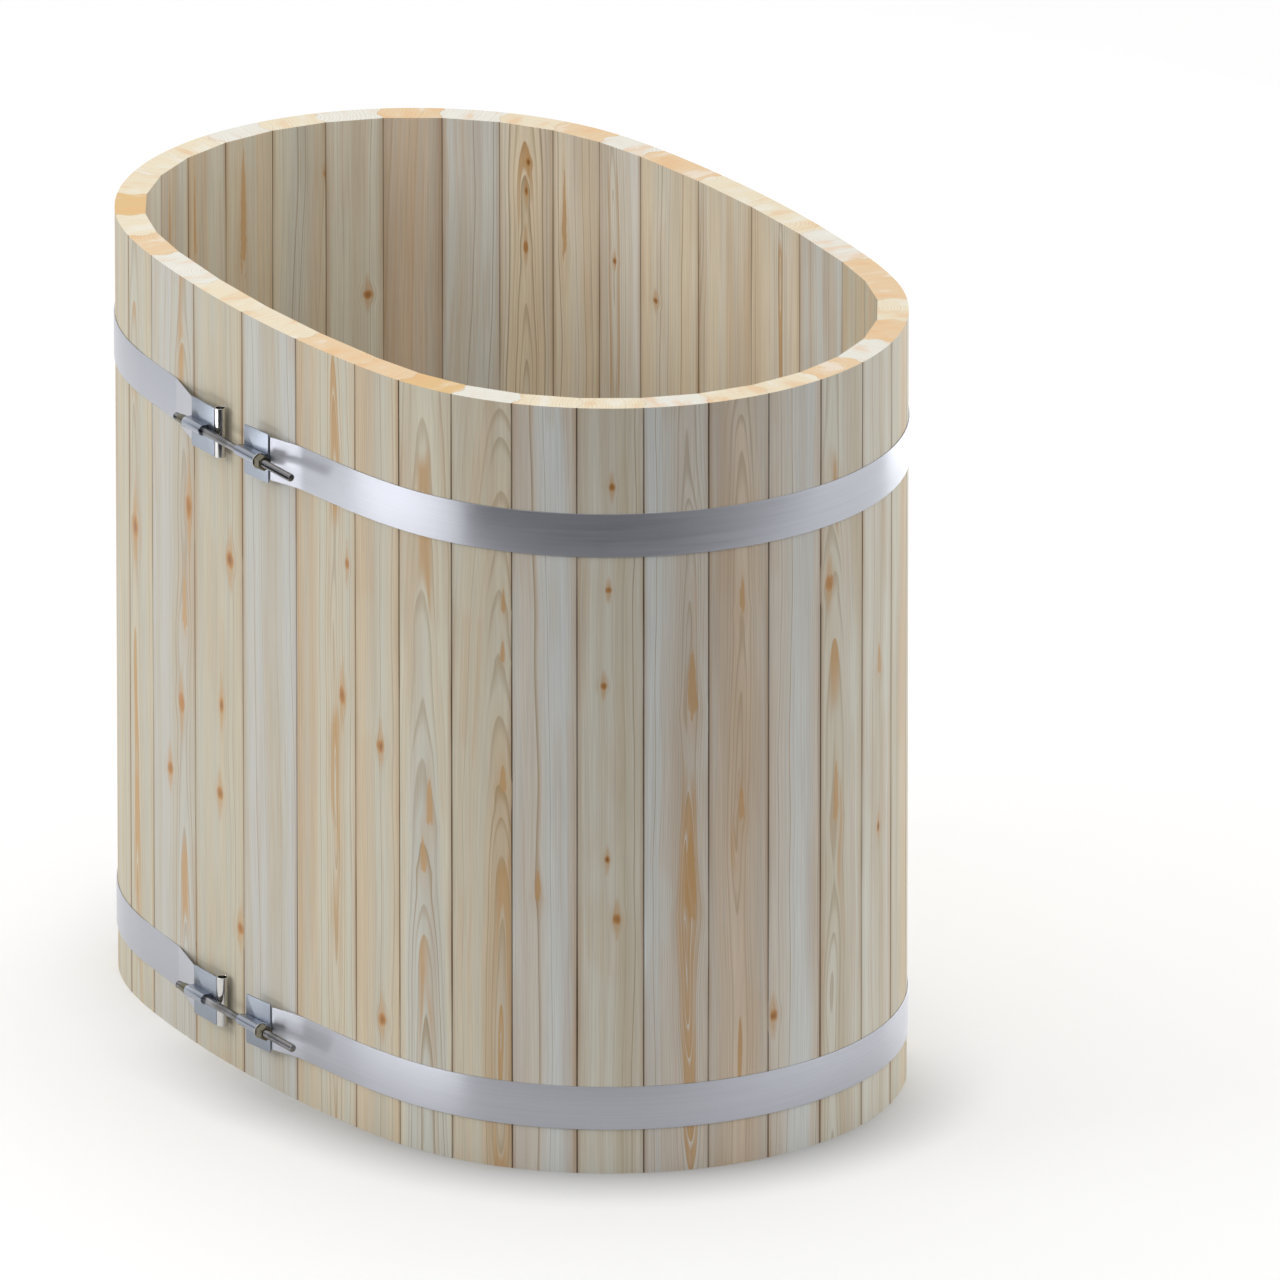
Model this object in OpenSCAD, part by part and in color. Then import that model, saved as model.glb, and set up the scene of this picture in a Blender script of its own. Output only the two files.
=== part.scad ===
/* [Tub] */
// Length of the tub over the staves
tub_length = 1200; // [1150:10:1280]
// Width of the tub over the staves
tub_width = 780; // [750:10:810]
// Height of the staves
tub_height = 1000; // [940:10:1200]
// Thickness of the wall at a joint between two staves
wall = 37; // [35:1:44]

/* [Staves] */
// Width of the stave at each shoulder of the oval, between its end and its long side
shoulder_stave_width = 80; // [74:1:86]
// Angle that the wall turns over one wide stave, in degrees
wide_stave_angle = 3.75; // [3.6:0.05:3.9]
// Angle that the wall turns over one narrow stave round the ends, in degrees
narrow_stave_angle = 12.7; // [12.5:0.05:12.9]
// Gap left between two staves
stave_gap = 0.2; // [0.1:0.05:0.4]
// Chamfer on a stave's outer edges
stave_chamfer = 1.2; // [0.6:0.1:2]
// Radius of the rounded bead along one edge of a stave
bead_radius = 16; // [14:0.5:17]
// Width of that bead across the edge
bead_width = 24; // [20:1:27]

/* [Floor] */
// Height of the floor's underside above the ground
floor_height = 70; // [60:1:90]
// Thickness of the floor boards
floor_thickness = 32; // [28:1:36]
// Depth of the groove in the staves that holds the floor
croze_depth = 10; // [8:1:14]
// Clearance of the floor in that groove
croze_clearance = 0.25; // [0.1:0.05:0.5]
// Width of a floor board
floor_board_width = 145; // [143:1:147]
// Thickness of a floor board's tongue
tongue_thickness = 10; // [6:1:12]
// Length of a floor board's tongue
tongue_length = 8; // [6:1:10]
// Gap left between two floor boards
board_gap = 0.2; // [0.1:0.05:0.4]
// Width of a batten under the floor
batten_width = 60; // [45:1:80]
// Depth of a batten
batten_depth = 36; // [28:1:44]
// Distance between the middles of the two battens
batten_spacing = 600; // [480:10:640]
// Clearance between a batten's ends and the wall
batten_end_gap = 2; // [1:0.5:6]
// Diameter of a floor screw's shank
floor_screw_diameter = 5; // [4:0.5:6]
// Diameter of a floor screw's head
floor_screw_head = 10; // [8:0.5:12]
// Depth of a floor screw's head
floor_screw_head_depth = 4; // [3:0.5:6]
// Bite of a floor screw in its board
floor_screw_bite = 20; // [14:1:24]

/* [Hoops] */
// Width of a hoop
hoop_width = 56; // [50:1:60]
// Thickness of a hoop
hoop_thickness = 1.5; // [1:0.1:2]
// Clearance between a hoop and the staves
hoop_clearance = 0.15; // [0.1:0.05:0.3]
// Height of the upper hoop's lower edge
upper_hoop_height = 807; // [700:1:870]
// Height of the lower hoop's lower edge
lower_hoop_height = 58; // [40:1:80]
// Distance from the tub's middle to where the hoop's left end leaves the wall
left_lift_start = 165; // [150:1:185]
// Distance from the tub's middle to where the hoop's right end leaves the wall
right_lift_start = 126; // [118:1:140]

/* [Hoop ends] */
// Height of an end plate
plate_height = 64; // [62:1:70]
// Thickness of an end plate
plate_thickness = 2; // [1.5:0.1:3]
// Distance from the tub's middle to the left plate's left edge
left_plate_start = 90; // [86:1:98]
// Overlap of the hoop's left end behind the left plate
left_plate_overlap = 36; // [20:1:42]
// Distance from the tub's middle to the upright tube at the left plate's end
end_tube_place = 34; // [30:1:40]
// Outer diameter of that tube
end_tube_diameter = 14.5; // [12:0.5:16]
// Wall of that tube
end_tube_wall = 1.5; // [1:0.1:2]
// Distance from the tub's middle to the right plate's left edge
right_plate_start = 34; // [30:1:40]
// Distance from the tub's middle to the right plate's right edge
right_plate_end = 82; // [81:1:90]
// Overlap of the hoop's right end behind the right plate
right_plate_overlap = 30; // [20:1:40]
// Fall of the right plate towards the wall, in degrees
right_plate_fall = 6; // [5.5:0.5:7]

/* [Tensioners] */
// Distance of the stud's axis from the wall at the tub's middle
stud_standoff = 26; // [25:0.5:28]
// Diameter of the stud
stud_diameter = 10; // [8:1:10]
// Chamfer on the stud's ends
stud_chamfer = 1; // [0.5:0.1:1.5]
// Distance from the tub's middle to the stud's left end
stud_left = 114; // [110:1:125]
// Distance from the tub's middle to the stud's right end
stud_right = 158; // [150:1:170]
// Outer diameter of a sleeve
sleeve_diameter = 14; // [13:0.5:15]
// Clearance of the stud in a sleeve
sleeve_clearance = 0.05; // [0.03:0.01:0.1]
// Distance from the stud's axis back to the end plates' faces
plate_setback = 8; // [7.5:0.5:9]
// Width of the welded foot between a sleeve and its plate
foot_width = 13; // [9:0.5:13]
// Distance from the tub's middle to the left sleeve's right end
left_sleeve_end = 50; // [46:1:54]
// Length of the left sleeve's tapered nose, past its plate
nose_length = 14; // [8:1:18]
// Diameter of the nose at its tip
nose_diameter = 11.5; // [11:0.1:13]
// Distance from the tub's middle to the right sleeve's left end
right_sleeve_start = 33; // [28:1:34]
// Length of the right sleeve
right_sleeve_length = 48; // [44:1:48]
// Diameter of the washer
washer_diameter = 20; // [18:0.5:20]
// Thickness of the washer
washer_thickness = 2; // [1.5:0.1:2.5]
// Width of the nut across its flats
nut_width = 17; // [15:0.5:17]
// Thickness of the nut
nut_thickness = 12; // [8:0.5:15]
// Radial clearance of the washer on the stud
washer_clearance = 0.25; // [0.1:0.05:0.4]
// Radial clearance of the nut on the stud
nut_clearance = 0.05; // [0.03:0.01:0.1]
// Gap left between sleeve, washer and nut
seat_gap = 0.3; // [0.2:0.05:0.4]

/* [Drain] */
// Diameter of the drain's flange
drain_flange_diameter = 86; // [76:1:96]
// Thickness of the flange
drain_flange_thickness = 3; // [2:0.5:4]
// Outer diameter of the drain's threaded tail
drain_tail_diameter = 47.8; // [44:0.1:50]
// Length of the tail below its back nut
drain_tail_rest = 6; // [3:1:8]
// Outer diameter of the plain spigot below the tail, for a waste pipe
spigot_diameter = 40; // [38:0.5:42]
// Height of the spigot's open end above the ground
spigot_height = 14; // [8:1:24]
// Bore of the drain
drain_bore = 34; // [32:0.5:36]
// Clearance of the tail in the floor
drain_hole_clearance = 1; // [0.5:0.5:2]
// Thickness of the gasket under the flange
gasket_thickness = 2; // [1.5:0.5:3]
// Width of the back nut across its flats
back_nut_width = 66; // [62:1:72]
// Thickness of the back nut
back_nut_thickness = 9; // [7:1:12]
// Radial clearance of the back nut and gasket on the tail
tail_clearance = 0.05; // [0.03:0.01:0.2]
// Clearance of the plug in the drain's bore
plug_clearance = 0.3; // [0.2:0.05:0.5]
// Depth of the plug in the bore
plug_depth = 16; // [12:1:22]
// Diameter of the plug's cap
plug_cap_diameter = 52; // [46:1:60]
// Height of the plug's knob above its cap
plug_knob_height = 18; // [14:1:24]
// Diameter of the plug's knob
plug_knob_diameter = 20; // [16:1:26]

/* [Hidden] */
// Places round the wall are angles from the +X end, anticlockwise seen from above
half_length = tub_length / 2;
half_width = tub_width / 2;
end_staves = 6;
half_staves = 18;
stave_count = 2 * half_staves;
end_angle = end_staves * narrow_stave_angle;
side_angle = 2 * wide_stave_angle;
shoulder_angle = 90 - end_angle - side_angle;
shoulder_start = end_angle;
side_start = end_angle + shoulder_angle;
shoulder_radius = shoulder_stave_width / (shoulder_angle * PI / 180);
// The end and side radii make the arcs meet smoothly and give the oval its length and width
end_x = 1 - cos(shoulder_start);
end_y = sin(shoulder_start);
side_x = cos(side_start);
side_y = 1 - sin(side_start);
rest_x = half_length - shoulder_radius * (cos(shoulder_start) - cos(side_start));
rest_y = half_width - shoulder_radius * (sin(side_start) - sin(shoulder_start));
arc_divisor = end_x * side_y - side_x * end_y;
end_radius = (rest_x * side_y - side_x * rest_y) / arc_divisor;
side_radius = (end_x * rest_y - rest_x * end_y) / arc_divisor;
wide_stave_width = side_radius * wide_stave_angle * PI / 180;
end_centre = [half_length - end_radius, 0];
shoulder_centre = end_centre + (end_radius - shoulder_radius) * [cos(shoulder_start), sin(shoulder_start)];
side_centre = [0, half_width - side_radius];

// The tensioners stand out on one side, so the tub stands off the footprint's middle by half their reach
reach = stud_standoff + washer_diameter / 2;
tub_y = reach / 2;
wall_y = -half_width;
stud_y = wall_y - stud_standoff;
plate_face = stud_standoff - plate_setback;
upper_middle = upper_hoop_height + hoop_width / 2;
lower_middle = lower_hoop_height + hoop_width / 2;
right_sleeve_end = right_sleeve_start + right_sleeve_length;
washer_start = right_sleeve_end + seat_gap;
nut_start = washer_start + washer_thickness + seat_gap;
floor_top = floor_height + floor_thickness;
floor_board_count = 5;
flange_seat = floor_top - drain_flange_thickness;
tail_end = floor_height - back_nut_thickness - drain_tail_rest;
tail_hole = drain_tail_diameter + 2 * tail_clearance;
fine = 720;
round_fn = 96;
small_fn = 32;
hoop_steps = 6;
tensioner_stave = half_staves + half_staves / 2;

stave_names = [for (i = [1 : stave_count]) str("stave_", i < 10 ? "0" : "", i)];
board_names = [for (i = [1 : floor_board_count]) str("floor_board_", i)];

// Staves 0 to 5 and 12 to 17 of a half turn an end, 6 and 11 are shoulders, 7 to 10 make a long side
function is_end(j) = j < 6 || j > 11;
function is_shoulder(j) = j == 6 || j == 11;
function stave_angle(j) = is_end(j) ? narrow_stave_angle : is_shoulder(j) ? shoulder_angle : wide_stave_angle;
function stave_radius(j) = is_end(j) ? end_radius : is_shoulder(j) ? shoulder_radius : side_radius;
function stave_start(j) =
    j <= 6 ? j * narrow_stave_angle
    : j <= 11 ? side_start + (j - 7) * wide_stave_angle
    : 180 - end_angle + (j - 12) * narrow_stave_angle;
function quarter_centre(j) = is_end(j) ? end_centre : is_shoulder(j) ? shoulder_centre : side_centre;
function stave_centre(j) = j < 9 ? quarter_centre(j) : [-quarter_centre(j)[0], quarter_centre(j)[1]];
function turned(p, a) = [p[0] * cos(a) - p[1] * sin(a), p[0] * sin(a) + p[1] * cos(a)];

// Point a share of the way round stave i, at a distance outside the wall's outer face
function wall_point(i, share, out) =
    let (j = i % half_staves, h = floor(i / half_staves) * 180)
    turned(stave_centre(j) + turned([stave_radius(j) + out, 0], stave_start(j) + share * stave_angle(j)), h);

module placed() {
    translate([0, tub_y, 0]) children();
}

// One stave in plan, from angle 0 to its turn round its own centre. Its outer face is curved and its inner
// face is flat
module stave_plan(radius, turn) {
    edge = stave_gap / 2;
    over = 10;
    inner = radius - wall;
    bead_back = sqrt(pow(bead_radius, 2) - pow(bead_width / 2, 2));
    first = [
        [inner, edge],
        [radius - stave_chamfer, edge],
        [radius + over, edge + stave_chamfer + over]
    ];
    last = [for (p = [first[2], first[1], first[0]]) turned([p[0], -p[1]], turn)];
    difference() {
        union() {
            intersection() {
                circle(r = radius, $fn = fine);
                polygon(concat(first, last));
            }
            rotate(turn) translate([radius - wall / 2, -edge - bead_back])
                circle(r = bead_radius, $fn = round_fn);
        }
        translate([radius - wall / 2, edge - stave_gap - bead_back])
            circle(r = bead_radius + stave_gap, $fn = round_fn);
    }
}

module stave(i) {
    j = i % half_staves;
    turn = stave_angle(j);
    radius = stave_radius(j);
    croze_face = (radius - wall + croze_depth) * cos(turn / 2);
    over = 30;
    color(i % 3 == 0 ? "burlywood" : i % 3 == 1 ? "wheat" : "tan")
        placed()
        rotate(floor(i / half_staves) * 180)
        translate(stave_centre(j))
        rotate(stave_start(j))
        difference() {
            linear_extrude(tub_height) stave_plan(radius, turn);
            rotate(turn / 2)
                translate([croze_face - over, -wide_stave_width, floor_height - croze_clearance])
                cube([over, 2 * wide_stave_width, floor_thickness + 2 * croze_clearance]);
        }
}

// The floor's outline stands in the groove with its clearance
module floor_plan(depth) {
    polygon([for (i = [0 : stave_count - 1]) wall_point(i, 0, -depth)]);
}

// One floor board: a strip of the floor with a tongue on its +Y edge and a groove in its -Y edge
module floor_board(n) {
    pitch = floor_board_width;
    low = (n - floor_board_count / 2) * pitch;
    first = n == 0;
    last = n == floor_board_count - 1;
    middle = floor_height + floor_thickness / 2;
    over = 60;
    low_edge = first ? low - over : low + board_gap / 2;
    high_edge = last ? low + pitch + over : low + pitch - board_gap / 2;
    color(n % 2 == 0 ? "wheat" : "burlywood")
        placed()
        difference() {
            intersection() {
                translate([0, 0, floor_height]) linear_extrude(floor_thickness)
                    floor_plan(wall - croze_depth + croze_clearance);
                union() {
                    translate([-half_length, low_edge, floor_height])
                        cube([tub_length, high_edge - low_edge, floor_thickness]);
                    if (!last)
                        translate([-half_length, high_edge - 1, middle - tongue_thickness / 2])
                            cube([tub_length, tongue_length + 1, tongue_thickness]);
                }
            }
            if (!first)
                translate([-half_length, low_edge - 1, middle - tongue_thickness / 2 - board_gap])
                    cube([tub_length, tongue_length + 1 + board_gap, tongue_thickness + 2 * board_gap]);
            if (n == floor(floor_board_count / 2)) drain_hole();
            for (x = [-1, 1]) floor_screw_hole(x * batten_spacing / 2, screw_line(n));
        }
}

function screw_line(n) = (n - (floor_board_count - 1) / 2) * floor_board_width;

module drain_hole() {
    translate([0, 0, floor_height - 1])
        cylinder(h = floor_thickness + 2, d = drain_tail_diameter + 2 * drain_hole_clearance, $fn = round_fn);
    translate([0, 0, flange_seat - gasket_thickness])
        cylinder(
            h = drain_flange_thickness + gasket_thickness + 1,
            d = drain_flange_diameter + 2 * drain_hole_clearance,
            $fn = round_fn
        );
}

module floor_screw_hole(x, y) {
    translate([x, y, floor_height - 1])
        cylinder(h = floor_screw_bite + 1, d = floor_screw_diameter, $fn = small_fn);
}

module floor_batten(side) {
    x = side * batten_spacing / 2;
    inset = wall + batten_end_gap;
    color("tan")
        placed()
        difference() {
            intersection() {
                translate([x - batten_width / 2, -half_width, floor_height - batten_depth])
                    cube([batten_width, tub_width, batten_depth]);
                translate([0, 0, floor_height - batten_depth]) linear_extrude(batten_depth) floor_plan(inset);
            }
            for (n = [0 : floor_board_count - 1])
                translate([x, screw_line(n), floor_height - batten_depth - 1]) {
                    cylinder(h = batten_depth + 2, d = floor_screw_diameter, $fn = small_fn);
                    cylinder(h = floor_screw_head_depth + 1, d = floor_screw_head, $fn = small_fn);
                }
        }
}

module floor_screws() {
    color("silver")
        placed()
        for (x = [-1, 1], n = [0 : floor_board_count - 1])
            translate([x * batten_spacing / 2, screw_line(n), floor_height - batten_depth]) {
                cylinder(h = floor_screw_head_depth, d = floor_screw_head, $fn = small_fn);
                cylinder(h = batten_depth + floor_screw_bite, d = floor_screw_diameter, $fn = small_fn);
            }
}

// Point of the tensioners' long side at a distance from the tub's middle, so far outside the wall
function side_point(x, out) =
    let (angle = asin(x / side_radius))
    [(side_radius + out) * sin(angle), -side_centre[1] - (side_radius + out) * cos(angle)];

// Line of a hoop anticlockwise round the wall, from where its right end lifts off to where its left end does
function hoop_line(out) = concat(
    [side_point(right_lift_start, out)],
    [
        for (n = [0 : stave_count * hoop_steps - 1])
            let (
                i = tensioner_stave + floor(n / hoop_steps),
                p = wall_point(i, n % hoop_steps / hoop_steps, out)
            )
            if (p[1] > 0 || p[0] > right_lift_start + 1 || p[0] < -left_lift_start - 1) p
    ],
    [side_point(-left_lift_start, out)]
);
function reversed(points) = [for (n = [len(points) - 1 : -1 : 0]) points[n]];

// Each end of the hoop lies against the back of its plate, and the right plate slopes
module hoop(low) {
    left_end = left_plate_start - left_plate_overlap;
    right_end = right_plate_end - right_plate_overlap;
    left_back = wall_y - (plate_face - plate_thickness);
    right_back = left_back + (right_end - right_plate_start) * tan(right_plate_fall);
    right_rest = left_back + (right_plate_end - right_plate_start) * tan(right_plate_fall);
    inner = concat(
        [[right_end, right_back + hoop_thickness], [right_plate_end, right_rest + hoop_thickness]],
        hoop_line(hoop_clearance),
        [[-left_plate_start, left_back + hoop_thickness], [-left_end, left_back + hoop_thickness]]
    );
    outer = concat(
        [[right_end, right_back], [right_plate_end, right_rest]],
        hoop_line(hoop_clearance + hoop_thickness),
        [[-left_plate_start, left_back], [-left_end, left_back]]
    );
    color("lightgray")
        placed()
        translate([0, 0, low])
        linear_extrude(hoop_width) polygon(concat(outer, reversed(inner)));
}

// Both tensioners are alike, one at the middle of each hoop
module at_both_hoops() {
    placed() for (z = [lower_middle, upper_middle]) translate([0, 0, z]) children();
}

module end_tube_cylinder(d, h) {
    translate([-end_tube_place, wall_y - plate_face + end_tube_diameter / 2, -h / 2])
        cylinder(h = h, d = d, $fn = round_fn);
}

module left_end_plates() {
    color("lightsteelblue")
        at_both_hoops()
        difference() {
            translate([-left_plate_start, wall_y - plate_face, -plate_height / 2])
                cube([left_plate_start - end_tube_place, plate_thickness, plate_height]);
            end_tube_cylinder(end_tube_diameter, plate_height + 2);
        }
}

module end_tubes() {
    color("whitesmoke")
        at_both_hoops()
        difference() {
            end_tube_cylinder(end_tube_diameter, plate_height);
            end_tube_cylinder(end_tube_diameter - 2 * end_tube_wall, plate_height + 2);
        }
}

// The right plate slopes down towards the wall, and the hoop's right end lies behind it
module right_end_plates() {
    fall = (right_plate_end - right_plate_start) * tan(right_plate_fall);
    face = wall_y - plate_face;
    color("lightsteelblue")
        at_both_hoops()
        translate([0, 0, -plate_height / 2])
        linear_extrude(plate_height) polygon([
            [right_plate_start, face],
            [right_plate_end, face + fall],
            [right_plate_end, face + fall + plate_thickness],
            [right_plate_start, face + plate_thickness]
        ]);
}

module stud_line() {
    translate([0, stud_y, 0]) children();
}

// A round rod along the stud's axis
module rod(start, length, first_diameter, last_diameter) {
    translate([start, 0, 0]) rotate([0, 90, 0])
        cylinder(h = length, d1 = first_diameter, d2 = last_diameter, $fn = round_fn);
}

module sleeve_bore() {
    bore = stud_diameter + 2 * sleeve_clearance;
    rod(-stud_left, stud_left + stud_right, bore, bore);
}

// The foot's back lies on the plate, whose face may fall away from the stud
module sleeve_foot(start, end, back, fall) {
    translate([0, 0, -foot_width / 2]) linear_extrude(foot_width)
        polygon([[start, 0], [end, 0], [end, back + fall], [start, back]]);
}

module left_sleeves() {
    length = left_plate_start - left_sleeve_end;
    color("silver")
        at_both_hoops()
        stud_line()
        difference() {
            union() {
                rod(-left_plate_start, length, sleeve_diameter, sleeve_diameter);
                rod(-left_plate_start - nose_length, nose_length, nose_diameter, sleeve_diameter);
                sleeve_foot(-left_plate_start, -left_sleeve_end, plate_setback, 0);
            }
            sleeve_bore();
        }
}

module right_sleeves() {
    fall = (right_sleeve_end - right_plate_start) * tan(right_plate_fall);
    color("silver")
        at_both_hoops()
        stud_line()
        difference() {
            union() {
                rod(right_sleeve_start, right_sleeve_length, sleeve_diameter, sleeve_diameter);
                sleeve_foot(right_plate_start, right_sleeve_end, plate_setback, fall);
            }
            sleeve_bore();
        }
}

module tension_studs() {
    tip = stud_chamfer;
    r = stud_diameter / 2;
    color("gray")
        at_both_hoops()
        stud_line()
        rotate([0, 90, 0])
        rotate_extrude($fn = round_fn)
        polygon([
            [0, -stud_left], [r - tip, -stud_left], [r, -stud_left + tip],
            [r, stud_right - tip], [r - tip, stud_right], [0, stud_right]
        ]);
}

module washer(z) {
    color("darkgray")
        placed()
        translate([washer_start, stud_y, z])
        rotate([0, 90, 0])
        difference() {
            cylinder(h = washer_thickness, d = washer_diameter, $fn = round_fn);
            translate([0, 0, -1])
                cylinder(h = washer_thickness + 2, r = stud_diameter / 2 + washer_clearance, $fn = round_fn);
        }
}

module nut(z) {
    corner = nut_width / cos(30);
    color("darkkhaki")
        placed()
        translate([nut_start, stud_y, z])
        rotate([0, 90, 0])
        difference() {
            cylinder(h = nut_thickness, d = corner, $fn = 6);
            translate([0, 0, -1])
                cylinder(h = nut_thickness + 2, r = stud_diameter / 2 + nut_clearance, $fn = round_fn);
        }
}

module drain_body() {
    color("silver")
        placed()
        difference() {
            union() {
                translate([0, 0, flange_seat])
                    cylinder(h = drain_flange_thickness, d = drain_flange_diameter, $fn = round_fn);
                translate([0, 0, tail_end])
                    cylinder(h = flange_seat - tail_end, d = drain_tail_diameter, $fn = round_fn);
                translate([0, 0, spigot_height])
                    cylinder(h = tail_end - spigot_height, d = spigot_diameter, $fn = round_fn);
            }
            translate([0, 0, spigot_height - 1])
                cylinder(h = floor_top - spigot_height + 2, d = drain_bore, $fn = round_fn);
        }
}

module drain_gasket() {
    color("dimgray")
        placed()
        translate([0, 0, flange_seat - gasket_thickness])
        difference() {
            cylinder(h = gasket_thickness, d = drain_flange_diameter, $fn = round_fn);
            translate([0, 0, -1]) cylinder(h = gasket_thickness + 2, d = tail_hole, $fn = round_fn);
        }
}

module drain_back_nut() {
    color("silver")
        placed()
        translate([0, 0, floor_height - back_nut_thickness])
        difference() {
            cylinder(h = back_nut_thickness, d = back_nut_width / cos(30), $fn = 6);
            translate([0, 0, -1])
                cylinder(h = back_nut_thickness + 2, d = tail_hole, $fn = round_fn);
        }
}

module drain_plug() {
    cap = 4;
    neck = plug_knob_diameter / 2;
    seat = floor_top + seat_gap;
    color("dimgray")
        placed()
        union() {
            translate([0, 0, floor_top - plug_depth])
                cylinder(h = plug_depth + seat_gap, d = drain_bore - 2 * plug_clearance, $fn = round_fn);
            translate([0, 0, seat]) cylinder(h = cap, d = plug_cap_diameter, $fn = round_fn);
            translate([0, 0, seat + cap]) cylinder(h = plug_knob_height, d = neck, $fn = small_fn);
            translate([0, 0, seat + cap + plug_knob_height / 2])
                cylinder(h = plug_knob_height / 2, d = plug_knob_diameter, $fn = small_fn);
        }
}

for (i = [0 : stave_count - 1]) stave(i);
for (i = [0 : floor_board_count - 1]) floor_board(i);
floor_batten(-1);  // floor_batten_1
floor_batten(1);  // floor_batten_2
floor_screws();
hoop(upper_hoop_height);  // upper_hoop
hoop(lower_hoop_height);  // lower_hoop
left_end_plates();
right_end_plates();
end_tubes();
left_sleeves();
right_sleeves();
tension_studs();
washer(upper_middle);  // upper_washer
nut(upper_middle);  // upper_nut
washer(lower_middle);  // lower_washer
nut(lower_middle);  // lower_nut
drain_body();
drain_gasket();
drain_back_nut();
drain_plug();
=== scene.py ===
"""An oval hot tub of spruce staves, dressed round its CAD frame.

Lengths are metres and turns are radians unless a name says otherwise. The tub's long axis is X, its
tensioners are on the -Y side and +Z is up."""
import math
from functools import partial

import bmesh
import bpy
import numpy as np
from mathutils import Matrix, Vector


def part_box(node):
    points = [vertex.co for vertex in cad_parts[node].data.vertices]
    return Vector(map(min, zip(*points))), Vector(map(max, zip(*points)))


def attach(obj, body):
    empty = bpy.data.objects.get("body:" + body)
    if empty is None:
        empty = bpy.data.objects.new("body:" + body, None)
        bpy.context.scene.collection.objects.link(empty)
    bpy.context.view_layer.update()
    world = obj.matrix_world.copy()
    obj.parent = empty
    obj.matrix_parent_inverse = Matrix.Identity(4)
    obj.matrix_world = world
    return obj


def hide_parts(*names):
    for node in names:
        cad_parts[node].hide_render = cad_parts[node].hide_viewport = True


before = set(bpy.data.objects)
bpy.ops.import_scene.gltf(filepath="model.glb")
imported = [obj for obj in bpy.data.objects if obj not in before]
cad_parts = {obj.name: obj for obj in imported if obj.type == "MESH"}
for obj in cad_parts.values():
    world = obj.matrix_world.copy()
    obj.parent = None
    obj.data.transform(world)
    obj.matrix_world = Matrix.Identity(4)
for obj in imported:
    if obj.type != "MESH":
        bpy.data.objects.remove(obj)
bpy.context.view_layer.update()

MM = 0.001
STAVES = ["stave_%02d" % n for n in range(1, 37)]
BOARDS = ["floor_board_%d" % n for n in range(1, 6)]
BATTENS = ["floor_batten_1", "floor_batten_2"]

# The wall, from the frame: its outer faces, and the middle of the tub between its long sides
stave_boxes = np.array([[list(corner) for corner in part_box(name)] for name in STAVES])
wall_low, wall_high = stave_boxes[:, 0].min(0), stave_boxes[:, 1].max(0)
HALF_LENGTH = (wall_high[0] - wall_low[0]) / 2
HALF_WIDTH = (wall_high[1] - wall_low[1]) / 2
TUB_Y = (wall_high[1] + wall_low[1]) / 2
WALL_Y = TUB_Y - HALF_WIDTH

# How far the wall turns over its six end staves, its shoulder stave and two wide staves
END_TURN = math.radians(6 * 12.7)
SIDE_TURN = math.radians(2 * 3.75)
SHOULDER_TURN = math.pi / 2 - END_TURN - SIDE_TURN
SHOULDER_WIDTH = 80 * MM

# The hoops, as bent strip
HOOP_THICKNESS = 1.5 * MM
HOOP_CLEARANCE = 0.15 * MM
HOOP_EDGE = 0.45 * MM
HOOP_STATIONS = 481
LEFT_LIFT, LEFT_PLATE_START, LEFT_PLATE_OVERLAP = 165 * MM, 90 * MM, 36 * MM
RIGHT_LIFT, RIGHT_PLATE_END, RIGHT_PLATE_OVERLAP = 126 * MM, 82 * MM, 30 * MM

# The tensioners
PLATE_THICKNESS = 2 * MM
PLATE_FALL = math.radians(6)
PLATE_START = 34 * MM
TUBE_PLACE, TUBE_RADIUS, TUBE_WALL = 34 * MM, 7.25 * MM, 1.5 * MM
SLEEVE_BORE, SLEEVE_FOOT, WASHER_BORE = 5.05 * MM, 6.5 * MM, 5.25 * MM
# How far the countersinks at a nut's bore go in
NUT_LEAD = 0.6 * MM
SLEEVE_START, NOSE, NOSE_LIP = -90 * MM, 14 * MM, 0.4 * MM
LEFT_SLEEVE_END, LEFT_PLATE_END = -50 * MM, -37 * MM
RIGHT_SLEEVE_START, RIGHT_SLEEVE_END = 33 * MM, 81 * MM
STUD_RADIUS, LEFT_THREAD_END, RIGHT_THREAD_START = 4.98 * MM, -96 * MM, 70 * MM
STUD_STANDOFF, PLATE_SETBACK = 26 * MM, 8 * MM
STUD_Y = WALL_Y - STUD_STANDOFF
PLATE_Y = STUD_Y + PLATE_SETBACK
THREAD_PITCH, THREAD_DEPTH = 1.5 * MM, 0.92 * MM


def linear(code):
    """An sRGB hex colour as linear red, green and blue, by the sRGB curve."""
    part = np.array([int(code[i:i + 2], 16) for i in (1, 3, 5)]) / 255
    curve = np.where(part <= 0.04045, part / 12.92, ((part + 0.055) / 1.055) ** 2.4)
    return (*curve.tolist(), 1.0)


def add(tree, kind, *inputs, named=None, **settings):
    """Adds a shader node. Its kind may have an operation after a space, and the settings are its other
    properties. The inputs go to its sockets in use, in their order, and named ones by name: a node or a
    socket is linked, a value is set and None is passed over."""
    kind, _, operation = kind.partition(" ")
    node = tree.nodes.new("ShaderNode" + kind)
    if operation:
        node.operation = operation
    for name, value in settings.items():
        setattr(node, name, value)
    in_use = [socket for socket in node.inputs if socket.enabled]
    by_name = [(node.inputs[name], value) for name, value in (named or {}).items()]
    for socket, value in [*zip(in_use, inputs), *by_name]:
        if isinstance(value, bpy.types.Node):
            value = next(output for output in value.outputs if output.enabled)
        if isinstance(value, bpy.types.NodeSocket):
            tree.links.new(value, socket)
        elif value is not None:
            socket.default_value = value
    return node


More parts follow.
